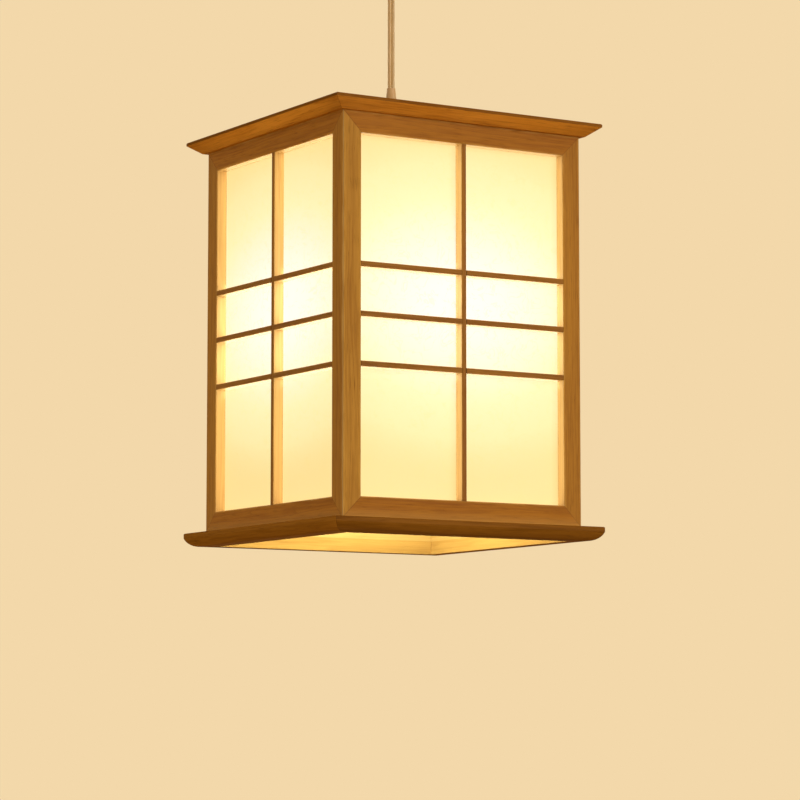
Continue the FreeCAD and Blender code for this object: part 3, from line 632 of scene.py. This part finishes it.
def make_strain_relief(finish):
    """The strain relief: a fluted foot, then a taper with rings cut in it. The flutes are a raised cosine
    round the foot. The taper follows a power of its height's share, the rings a sharpened cosine up it."""
    low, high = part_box("strain_relief")
    tube_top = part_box("threaded_tube")[1].z
    levels = np.linspace(low.z, high.z, RELIEF_LEVELS)
    angle = angles(RELIEF_COLUMNS)[None, :]
    rise = (levels - low.z)[:, None]
    lift = rise / FOOT_EASE_HEIGHT
    flute = FLUTE_DEPTH * (1 + np.cos(FOOT_FLUTES * angle)) / 2 * np.clip(lift - 1, 0, 1)
    foot = high.x - FOOT_EASE * (1 - np.clip(lift, 0, 1)) ** 2 - flute
    share = np.clip((rise - FOOT_HEIGHT) / (high.z - low.z - FOOT_HEIGHT), 0, 1)
    shoulder = high.x - SHOULDER_STEP
    taper = shoulder + (TAPER_RADIUS - shoulder) * share ** TAPER_POWER
    wave = np.cos(2 * np.pi * (rise - FOOT_HEIGHT) / RING_PITCH)
    ring = np.clip(wave * (1 + RING_SHARPNESS) - RING_SHARPNESS, 0, 1)
    ring = ring * np.clip(share / RING_START_SHARE, 0, 1) * (share < RING_END_SHARE)
    outer = np.where(rise < FOOT_HEIGHT, foot, taper - RING_DEPTH * ring + 0 * angle)
    bore = np.where(levels[:, None] < tube_top, RELIEF_TUBE_BORE, RELIEF_CORD_BORE) + 0 * outer
    points = walled(levels, outer, bore)
    relief = new_piece("ringed_strain_relief", points, True, finish, "lamp")
    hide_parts("strain_relief")


def make_studs(finish):
    """The bracket's studs: a threaded shank, a plain neck in the bracket, and a flat head against the
    ceiling."""
    low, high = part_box("bracket_studs")
    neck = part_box("ceiling_bracket")[0].z - STUD_PITCH
    head = high.z - STUD_HEAD_HEIGHT
    levels = np.arange(low.z, neck, STUD_PITCH / FINE_STEPS)
    shank = threaded(levels, FINE_COLUMNS, STUD_RADIUS, STUD_DEPTH, STUD_PITCH, STUD_PITCH)
    collar = np.array((STUD_RADIUS, STUD_RADIUS, high.y, high.y))[:, None] + 0 * shank[0]
    radius = np.concatenate((shank, collar))
    levels = np.concatenate((levels, (neck, head, head, high.z)))
    for name, hand in HANDS.items():
        points = turned(levels, radius, hand * (high.x - high.y))
        stud = new_piece(f"bracket_stud_{name}", points, False, finish, "ceiling")
        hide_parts("bracket_studs")


def make_terminal_screws(finish):
    """Slotted screws in the terminal block's wells: a straight side, a domed top whose height falls with
    the square of the distance from its middle, and a slot where the distance across it is small."""
    low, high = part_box("terminal_block")
    angle = angles(SCREW_COLUMNS)[None, :]
    share = np.concatenate(((1, 1), np.linspace(*DOME_RINGS)))[:, None]
    radius = share * TERMINAL_SCREW_RADIUS
    from_slot = abs(radius * np.cos(angle - SLOT_TURN))
    slot = np.clip((SLOT_HALF_WIDTH - from_slot) / SLOT_WALL, 0, 1) * (share < 1)
    rise = TERMINAL_SCREW_HEIGHT + DOME_HEIGHT * (1 - share ** 2) - SLOT_DEPTH * slot
    rise[0] = 0
    for name, hand in HANDS.items():
        across = hand * TERMINAL_SPACING / 2 + radius * np.cos(angle)
        height = (low.z + high.z) / 2 + radius * np.sin(angle)
        points = np.stack((across, low.y + TERMINAL_WELL_DEPTH - rise, height), -1)
        new_piece(f"terminal_screw_{name}", points, False, finish, "ceiling")


# Wood

def grain_scale(axis, draw):
    """Across the grain the pattern keeps its scale, along it the pattern is drawn out."""
    return tuple(draw if axis == name else 1 for name in "XYZ")


def wood(name, axis, tones, seed, gloss=FRAME_GLOSS):
    """Lacquered straight-grained wood: broad bands, growth rings, fibres and short dark pores, drawn out
    along the grain. Gives the finish, its colour, and the share of its darker tone."""
    finish = new_finish(name, {"Specular IOR Level": gloss, **LACQUER})
    shift = tuple(step * seed for step in STICK_SHIFT)
    board = finish.place(grain_scale(axis, BAND_DRAW), shift)
    fine = finish.place(grain_scale(axis, FIBRE_DRAW), shift)
    bands = finish.noise(board, BANDS, 3, 0.6)
    fibres = finish.noise(fine, FIBRES, 4)
    pores = finish.noise(fine, PORES, 1).smooth(*PORE_STEP)
    first, second = (finish.axis(way) for way in "XYZ" if way != axis)
    across = (first + second * GROWTH_SLANT) * (2 * math.pi / GROWTH_SPACING)
    growth = (across + bands * GROWTH_WANDER).sine() * 0.5 + 0.5
    dark = bands * BAND_WEIGHT + fibres * FIBRE_WEIGHT + growth ** 2 * GROWTH_WEIGHT
    share = dark.smooth(*DARKER_STEP)
    colour = finish.mix(pores * PORE_STRENGTH, finish.mix(share, *tones), PORE_TONE)
    finish.feed({"Base Color": colour, "Roughness": 0.40 + 0.16 * fibres + 0.1 * pores,
                 "Coat Weight": 0.05 - 0.03 * pores,
                 "Normal": finish.bump(fibres * 0.5 - pores, PORE_DEPTH, 0.5)})
    return finish, colour, share


def painted_glow(finish, colour, share, reach, tones):
    """Painted light: paler wood nearer the lantern's middle than reach, as in the openings and inside the
    lantern, standing in for the glow of the lit sheets and bulb on those faces.
    """
    glow_tone = finish.mix(share, *tones)
    return finish.mix(finish.out().smooth(reach, reach + GLOW_PAINT_BLUR), glow_tone, colour)


def worn_and_highlit(finish, colour, node, axis):
    """Paler long edges, partly wear and partly a painted highlight on the eased arrises: there, both
    distances to the stick's sides are small.
    """
    sides = []
    for number, name in enumerate("XYZ"):
        if name != axis:
            low, high = (corner[number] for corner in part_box(node))
            spot = finish.axis(name)
            sides.append((spot - low).least(high - spot))
    patches = finish.noise(finish.place(grain_scale(axis, RUB_DRAW)), RUBS, 3).smooth(*RUB_STEP)
    edge = 1 - sides[0].most(sides[1]).smooth(0, EDGE_WEAR_AND_HIGHLIGHT_WIDTH)
    return finish.mix(edge * patches * EDGE_WEAR_AND_HIGHLIGHT_STRENGTH, colour, PALE_WEAR_AND_LIGHT_TONE)


def lit_foot(finish, colour, node):
    """Painted light: paler towards the rail's foot, standing in for light bounced up from the base's top."""
    foot = 1 - (finish.axis("Z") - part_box(node)[0].z).smooth(0, FOOT_LIGHT_HEIGHT)
    return finish.mix(foot * FOOT_LIGHT_STRENGTH, colour, PALE_WEAR_AND_LIGHT_TONE)


def rimmed(finish, colour, node, height, strength):
    """A darker outermost edge, down to that height below the board's top."""
    low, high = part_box(node)
    reach = max(high.x, high.y, -low.x, -low.y) - RIM_DEPTH
    edge = high.z - height
    upper = finish.axis("Z").smooth(edge - RIM_BLUR / 2, edge + RIM_BLUR / 2)
    outer = finish.out().smooth(reach, reach + RIM_BLUR)
    return finish.mix(upper * outer * strength, colour, RIM_TONE)


def jointed(finish, colour, distance):
    """A fine dark line where the distance from a joint is near 0."""
    line = JOINT_STRENGTH - JOINT_STRENGTH * distance.smooth(0, JOINT_WIDTH)
    return finish.mix(line, colour, JOINT_TONE)


def frame_joint(finish, along):
    """The distance from the frames' corner joints, which run inwards at 45 degrees from the outer
    corners."""
    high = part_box("front_top_rail")[1]
    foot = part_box("front_bottom_rail")[0].z
    across = finish.axis(along).size()
    upper = (across - finish.axis("Z") - (high.x - high.z)).size()
    lower = (across + finish.axis("Z") - (high.x + foot)).size()
    return upper.least(lower) / math.sqrt(2)


def board_joint(finish):
    """The distance from the cap's and base's corner joints, which are where |x| and |y| are equal."""
    return (finish.axis("X").size() - finish.axis("Y").size()).size() / math.sqrt(2)


def finish_frames(side, along, seed):
    """One frame's stiles and rails, with its lattice's bars. Their outer faces keep the wood's tones; the
    faces nearer the middle are painted paler, a painted glow of the lit sheets and bulb. The right stile has
    the darker Y copy of the stile tones, a painted shade, on every side."""
    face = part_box("back_top_rail")[1].y - GLOW_PAINT_DEPTH
    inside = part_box("back_diffuser")[1].y + INSIDE_GAP
    # The stiles' tones are paler than the rails' as painted sheen; their Y copy is darker as painted shade
    members = {"left_stile": ("Z", STILE_WOOD[along]), "right_stile": ("Z", STILE_WOOD["Y"]),
               "top_rail": (along, RAIL_WOOD), "bottom_rail": (along, RAIL_WOOD)}
    for number, (member, (axis, tones)) in enumerate(members.items()):
        node = f"{side}_{member}"
        finish, colour, share = wood(node + "_wood", axis, tones, seed + number)
        colour = worn_and_highlit(finish, colour, node, axis)
        # Painted light at the bottom rail's foot
        if member == "bottom_rail":
            colour = lit_foot(finish, colour, node)
        # Painted glow: faces in the openings and inside the lantern are paler, standing in for the light of
        # the sheets and bulb
        colour = painted_glow(finish, colour, share, face, GLOW_PAINTED_WOOD)
        colour = painted_glow(finish, colour, share, inside, INSIDE_GLOW_PAINTED_WOOD)
        finish.feed({"Base Color": jointed(finish, colour, frame_joint(finish, along))})
        give(finish, node)
    finish_lattice(f"{side}_lattice_bars", along, seed + len(members))


def finish_lattice(node, axis, seed):
    """Lattice sticks. The bars have a joint line at each side of the upright."""
    finish, colour, share = wood(node + "_wood", axis, LATTICE_WOOD, seed)
    # Painted glow: the bars' faces nearer the middle are paler, standing in for the sheets' light
    colour = painted_glow(finish, colour, share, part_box("back_lattice_bars")[1].y - GLOW_PAINT_DEPTH, GLOW_PAINTED_WOOD)
    if axis != "Z":
        colour = jointed(finish, colour, (finish.axis(axis).size() - LATTICE_WIDTH / 2).size())
    finish.feed({"Base Color": colour})
    give(finish, node)


def finish_boards(side, along, seed):
    """One side's cap strip and base strip, with dark rims; the base strip's rim is a painted shade line. The
    base strip's inner face is painted paler, a painted glow of the bulb's light.
    """
    node = f"cap_strip_{side}"
    finish, colour = wood(node + "_wood", along, CAP_WOOD[along], seed, BOARD_GLOSS)[:2]
    colour = rimmed(finish, colour, node, CAP_RIM_HEIGHT, CAP_RIM_STRENGTH)
    finish.feed({"Base Color": jointed(finish, colour, board_joint(finish))})
    give(finish, node)
    node = f"base_strip_{side}"
    finish, colour, share = wood(node + "_wood", along, BASE_WOOD[along], seed + 1, BOARD_GLOSS)
    # Painted glow: the base strip's inner face is paler, standing in for the bulb's light
    colour = painted_glow(finish, colour, share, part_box("base_strip_back")[0].y + INSIDE_GAP, GLOW_PAINTED_WOOD)
    # Painted shade: the base strip's darker top edge stands in for the shade line under the bottom rail
    colour = rimmed(finish, colour, node, BASE_SHADE_LINE_HEIGHT, BASE_SHADE_LINE_STRENGTH)
    finish.feed({"Base Color": jointed(finish, colour, board_joint(finish))})
    give(finish, node)


def finish_wood():
    """Each wooden piece is its own stick, so each has its own stretch of grain. A side's sticks are the
    frame's four, the bars, and the cap's and base's strips."""
    for number, side in enumerate(SIDES):
        along = "XY"[number % 2]
        seed = 1 + STICKS_A_SIDE * number
        finish_frames(side, along, seed)
        finish_boards(side, along, seed + STICKS_A_SIDE - 2)
    seed = 1 + STICKS_A_SIDE * len(SIDES)
    finish_lattice("lattice_uprights", "Z", seed)
    give(wood("joinery_wood", "Z", STILE_WOOD["X"], seed + 1)[0], "corner_keys", "frame_dowels")
    give(wood("panel_wood", "X", PANEL_WOOD, seed + 2)[0], "cap_panel")


# Sheets, bulb and fittings

def bulb_middle():
    """The height of the globe's middle, one radius above its crown."""
    low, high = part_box("bulb_globe")
    return low.z + high.x


def glow(finish, reach, wide, stops):
    """A colour that follows the distance from the bulb's middle, on each of the four sides at once: up and
    down by height, and sideways by the smaller of |x| and |y|, which counts wide times as much."""
    up = finish.axis("Z") - bulb_middle()
    aside = finish.axis("X").size().least(finish.axis("Y").size()) * wide
    away = (up * up + aside * aside) ** 0.5
    return finish.ramp((away / reach).smooth(0, 1), stops)


def diffuser_finish():
    """The white sheets: lit from behind, whitest beside the bulb and warm at the ends. Their long fibres
    are fine lines where a noise crosses its middle value."""
    finish = new_finish("diffuser_sheet", {"Emission Strength": 1, "Specular IOR Level": 0.3})
    from_middle = (finish.noise(finish.place(), LONG_FIBRES, 3, 1.5) - 0.5).size()
    long = 1 - from_middle.smooth(*LONG_FIBRE_STEP)
    short = finish.noise(finish.place(SHORT_FIBRE_DRAW), SHORT_FIBRES, 4)
    fibres = short * SHORT_FIBRE_WEIGHT + long * LONG_FIBRE_WEIGHT
    colour = glow(finish, SHEET_REACH, SHEET_WIDE, SHEET_LIGHT)
    shaded = finish.mix(SHEET_FIBRE_STRENGTH, colour, SHEET_FIBRE_TONE)
    finish.feed({"Base Color": finish.mix(fibres, *SHEET_TONES),
                 "Emission Color": finish.mix(fibres.smooth(*SHEET_FIBRE_STEP), colour, shaded),
                 "Roughness": 0.5 + 0.2 * fibres,
                 "Normal": finish.bump(fibres, SHEET_DEPTH, 0.4)})
    return finish


def bulb_finish():
    """The lit globe: opal, a little brighter round its middle."""
    finish = new_finish("bulb_globe", {"Emission Strength": GLOBE_BRIGHTNESS, "Specular IOR Level": 0.4})
    mottle = finish.noise(finish.place(), GLOBE_MOTTLE, 3)
    finish.feed({"Base Color": finish.mix(mottle, *GLOBE_TONES),
                 "Emission Color": glow(finish, GLOBE_REACH, 1, GLOBE_LIGHT),
                 "Roughness": 0.22 + 0.12 * mottle,
                 "Normal": finish.bump(mottle, GLOBE_DEPTH, 0.3)})
    return finish


def moulded(name, first, second, grain, roughness, constants):
    """Moulded plastic, paint, ceramic or glass: two near tones, a fine eroded texture of that grain and
    soft gloss."""
    finish = new_finish(name, constants)
    place = finish.place()
    speckle = finish.noise(place, 1 / grain, 3)
    cloud = finish.noise(place, MOULDED_CLOUDS, 2)
    finish.feed({"Base Color": finish.mix(cloud.smooth(*CLOUD_STEP), first, second),
                 "Roughness": roughness + 0.14 * speckle + 0.08 * cloud,
                 "Normal": finish.bump(speckle, SPECKLE_DEPTH, 0.35)})
    return finish


def metal(name, first, second, roughness, draw):
    """Bare or plated metal: a cloudy tone, and fine marks drawn out as draw says."""
    finish = new_finish(name, {})
    marks = finish.noise(finish.place(draw), MARKS, 3)
    cloud = finish.noise(finish.place(), METAL_CLOUDS, 3, 0.4)
    share = (cloud * 0.5 + marks * 0.5).smooth(*CLOUD_STEP)
    finish.feed({"Base Color": finish.mix(share, first, second),
                 "Metallic": 0.9 + 0.1 * marks,
                 "Roughness": roughness + 0.2 * marks + 0.1 * cloud,
                 "Normal": finish.bump(marks, MARK_DEPTH, 0.3)})
    return finish


def finish_fittings():
    """Finishes of the ceiling fitting, the sheets, the holder and the bulb, and the pieces made here."""
    finishes = {name: metal(name, *values) for name, values in METALS.items()}
    finishes.update({name: moulded(name, *values) for name, values in MOULDED.items()})
    for name, nodes in FITTINGS.items():
        give(finishes[name], *nodes)
    give(diffuser_finish(), *(f"{side}_diffuser" for side in SIDES))
    give(bulb_finish(), "bulb_globe")
    make_cord(finishes["cord_sheath"], finishes["copper_strands"], finishes["tinned_strands"])
    make_tube(finishes["zinc_plate"])
    make_screw_cap(finishes["bulb_cap_metal"], finishes["insulator_glass"])
    make_holder_shell(finishes["contact_brass"])
    make_strain_relief(finishes["clear_nylon"])
    make_studs(finishes["zinc_plate"])
    make_terminal_screws(finishes["contact_brass"])


# Light and floor

def new_light(name, kind, place, power, colour):
    """A light that the camera doesn't see."""
    lamp = bpy.data.lights.new(name, kind)
    lamp.energy = power
    lamp.color = colour
    light = bpy.data.objects.new(name, lamp)
    light.location = place
    light.visible_camera = False
    bpy.context.scene.collection.objects.link(light)
    return light


def panel_light(name, place, way, size, power, colour):
    """A flat light of that width and height, turned to face that way."""
    light = new_light(name, "AREA", place, power, colour)
    light.data.shape = "RECTANGLE"
    light.data.size, light.data.size_y = size
    light.rotation_euler = Vector(way).to_track_quat("-Z", "Y").to_euler()
    return light


def light_studio():
    """Soft light, strongest on the front, and a pale world that the camera, gloss and glass see at its
    colour."""
    for name, (place, power) in STUDIO_LAMPS.items():
        way = Vector(STUDIO_AIM) - Vector(place)
        panel_light(name, place, way, STUDIO_LAMP_SIZE, power, WARM_WHITE)
    world = Finish(bpy.data.worlds.new("room"), "Background")
    bpy.context.scene.world = world.owner
    seen = world.ray("Camera").most(world.ray("Glossy")).most(world.ray("Transmission"))
    world.feed({"Color": world.mix(seen, WORLD_LIGHT, WORLD_SEEN), "Strength": 1})


def light_lantern():
    """The lantern's own light: flat lights up each sheet, facing out, the palest beside the bulb, then the
    bulb's, and one that faces down to the base. Each rides on its body."""
    low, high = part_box("front_diffuser")
    wide = high.x - low.x - 2 * SHEET_COVER
    tall = (high.z - low.z - 2 * SHEET_COVER) / len(SHEET_GLOW)
    out = GLOW_GAP - low.y
    for side, (x, y) in SIDES.items():
        for number, (power, colour) in enumerate(SHEET_GLOW):
            place = (x * out, y * out, low.z + SHEET_COVER + (number + 0.5) * tall)
            light = panel_light(f"{side}_glow_{number + 1}", place, (x, y, 0), (wide, tall),
                                power * SIDE_GLOW[side], colour)
            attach(light, "lamp")
    bulb = new_light("bulb_light", "POINT", (0, 0, bulb_middle()), BULB_POWER, BULB_COLOUR)
    bulb.data.shadow_soft_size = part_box("bulb_globe")[1].x + BULB_GAP
    bulb.visible_glossy = False
    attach(bulb, "bulb")
    foot = panel_light("foot_glow", (0, 0, FOOT_GLOW_HEIGHT), (0, 0, -1), FOOT_GLOW_SIZE,
                       FOOT_GLOW_POWER, FOOT_GLOW_COLOUR)
    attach(foot, "lamp")


def make_floor():
    """A pale disc a room's height below the ceiling, plain to the eye and dim as a light."""
    angle = angles(FLOOR_SIDES)
    drop = 0 * angle - FLOOR_DROP
    rim = np.stack((FLOOR_RADIUS * np.cos(angle), FLOOR_RADIUS * np.sin(angle), drop), -1)
    mesh = bpy.data.meshes.new("floor")
    mesh.from_pydata(rim.tolist(), [], [list(range(len(rim)))])
    floor = bpy.data.objects.new("floor", mesh)
    bpy.context.scene.collection.objects.link(floor)
    finish = new_finish("floor", {"Roughness": 0.8, "Emission Strength": 1})
    seen = finish.ray("Camera")
    pale = finish.mix(finish.noise(finish.place(), FLOOR_CLOUDS, 3), *FLOOR_SEEN)
    finish.feed({"Base Color": finish.mix(seen, FLOOR_LIGHT, pale),
                 "Emission Color": finish.mix(seen, BLACK, FLOOR_GLOW)})
    mesh.materials.append(finish.owner)


set_camera()
finish_wood()
finish_fittings()
make_floor()
light_studio()
light_lantern()
bpy.context.scene.view_settings.view_transform = "Standard"
